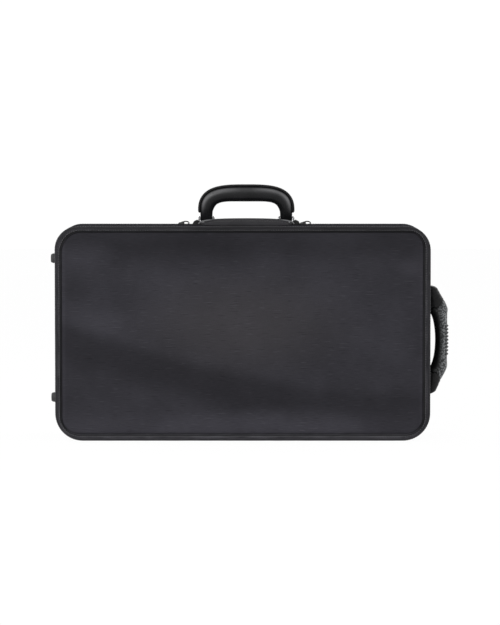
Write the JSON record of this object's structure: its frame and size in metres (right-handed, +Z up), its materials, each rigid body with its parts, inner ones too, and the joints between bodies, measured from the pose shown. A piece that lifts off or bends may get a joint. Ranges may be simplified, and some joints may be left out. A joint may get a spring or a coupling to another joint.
{
  "type": "basset horn case",
  "caption": "Rigid case in sewn black nylon with a zipped lid, a swinging top handle, a side handle, end feet and a fitted plush inside for a dismantled horn.",
  "frame": {"origin": "centre of the bottom face that the closed case stands on", "axes": "+X along the case's length towards the side handle, +Y through its depth from the lid to the back, +Z up towards the top handle"},
  "size_m": [0.6848, 0.1639, 0.436],
  "materials": {
    "nylon": "coarse woven nylon, matt",
    "binding": "ribbed nylon tape with a stitch line",
    "zip_nylon": "woven zip tape with a moulded coil",
    "grip_rubber": "fine stippled moulded rubber",
    "dark_rubber": "smooth moulded rubber",
    "plush": "short plush over foam",
    "shell": "rigid laminated shell",
    "steel": "nickel plated",
    "ribbon": "satin ribbon"
  },
  "bodies": {
    "base": {"base_shell": "shell", "base_gusset": "nylon", "back_panel": "nylon", "back_binding": "binding", "back_piping": "binding", "insert_lower_joint": "plush", "insert_upper_joint": "plush", "insert_bell": "plush", "insert_compartment": "plush", "hinge_strip_base": "nylon", "zip_base_left": "zip_nylon", "zip_base_right": "zip_nylon", "zip_stop_left": "steel", "zip_stop_right": "steel", "foot_base_upper": "dark_rubber", "foot_base_lower": "dark_rubber", "handle_saddle": "dark_rubber", "handle_plate": "steel", "handle_bracket_left": "steel", "handle_bracket_right": "steel", "handle_pin_left": "steel", "handle_pin_right": "steel", "handle_screw_left_front": "steel", "handle_screw_left_rear": "steel", "handle_screw_right_front": "steel", "handle_screw_right_rear": "steel", "side_handle_grip": "grip_rubber", "side_handle_end_upper": "dark_rubber", "side_handle_end_lower": "dark_rubber", "side_handle_plate_upper": "steel", "side_handle_plate_lower": "steel", "side_handle_rivet_upper": "steel", "side_handle_rivet_lower": "steel"},
    "lid": {"lid_shell": "shell", "lid_gusset": "nylon", "front_panel": "nylon", "front_binding": "binding", "front_piping": "binding", "lid_lining": "plush", "hinge_strip_lid": "nylon", "handle_tongue": "nylon", "tongue_binding": "binding", "zip_lid_left": "zip_nylon", "zip_lid_right": "zip_nylon", "foot_lid_upper": "dark_rubber", "foot_lid_lower": "dark_rubber"},
    "handle": {"handle_grip": "grip_rubber", "handle_spine": "dark_rubber"},
    "slider_left": {"zip_slider_left": "steel"},
    "slider_right": {"zip_slider_right": "steel"},
    "pull_left": {"zip_pull_left": "steel"},
    "pull_right": {"zip_pull_right": "steel"},
    "cover": {"compartment_cover": "plush", "cover_tab": "ribbon"}
  },
  "joints": [
    {"name": "lid_hinge", "type": "hinge", "parent": "base", "child": "lid", "pos_m": [0, -0.01, 0], "axis": [1, 0, 0], "range_deg": [0, 100]},
    {"name": "handle_swing", "type": "hinge", "parent": "base", "child": "handle", "pos_m": [0.006, 0.01, 0.377], "axis": [1, 0, 0], "range_deg": [-80, 52]},
    {"name": "slider_left_slide", "type": "slide", "parent": "base", "child": "slider_left", "axis": [-1, 0, 0], "range_m": [0, 0.15]},
    {"name": "slider_right_slide", "type": "slide", "parent": "base", "child": "slider_right", "axis": [1, 0, 0], "range_m": [0, 0.15]},
    {"name": "pull_left_hinge", "type": "hinge", "parent": "slider_left", "child": "pull_left", "pos_m": [-0.104, -0.01, 0.3716], "axis": [0, -1, 0], "range_deg": [0, 150]},
    {"name": "pull_right_hinge", "type": "hinge", "parent": "slider_right", "child": "pull_right", "pos_m": [0.105, -0.01, 0.3716], "axis": [0, -1, 0], "range_deg": [0, 150]},
    {"name": "cover_lift", "type": "slide", "parent": "base", "child": "cover", "axis": [0, -1, 0], "range_m": [0, 0.04]}
  ]
}
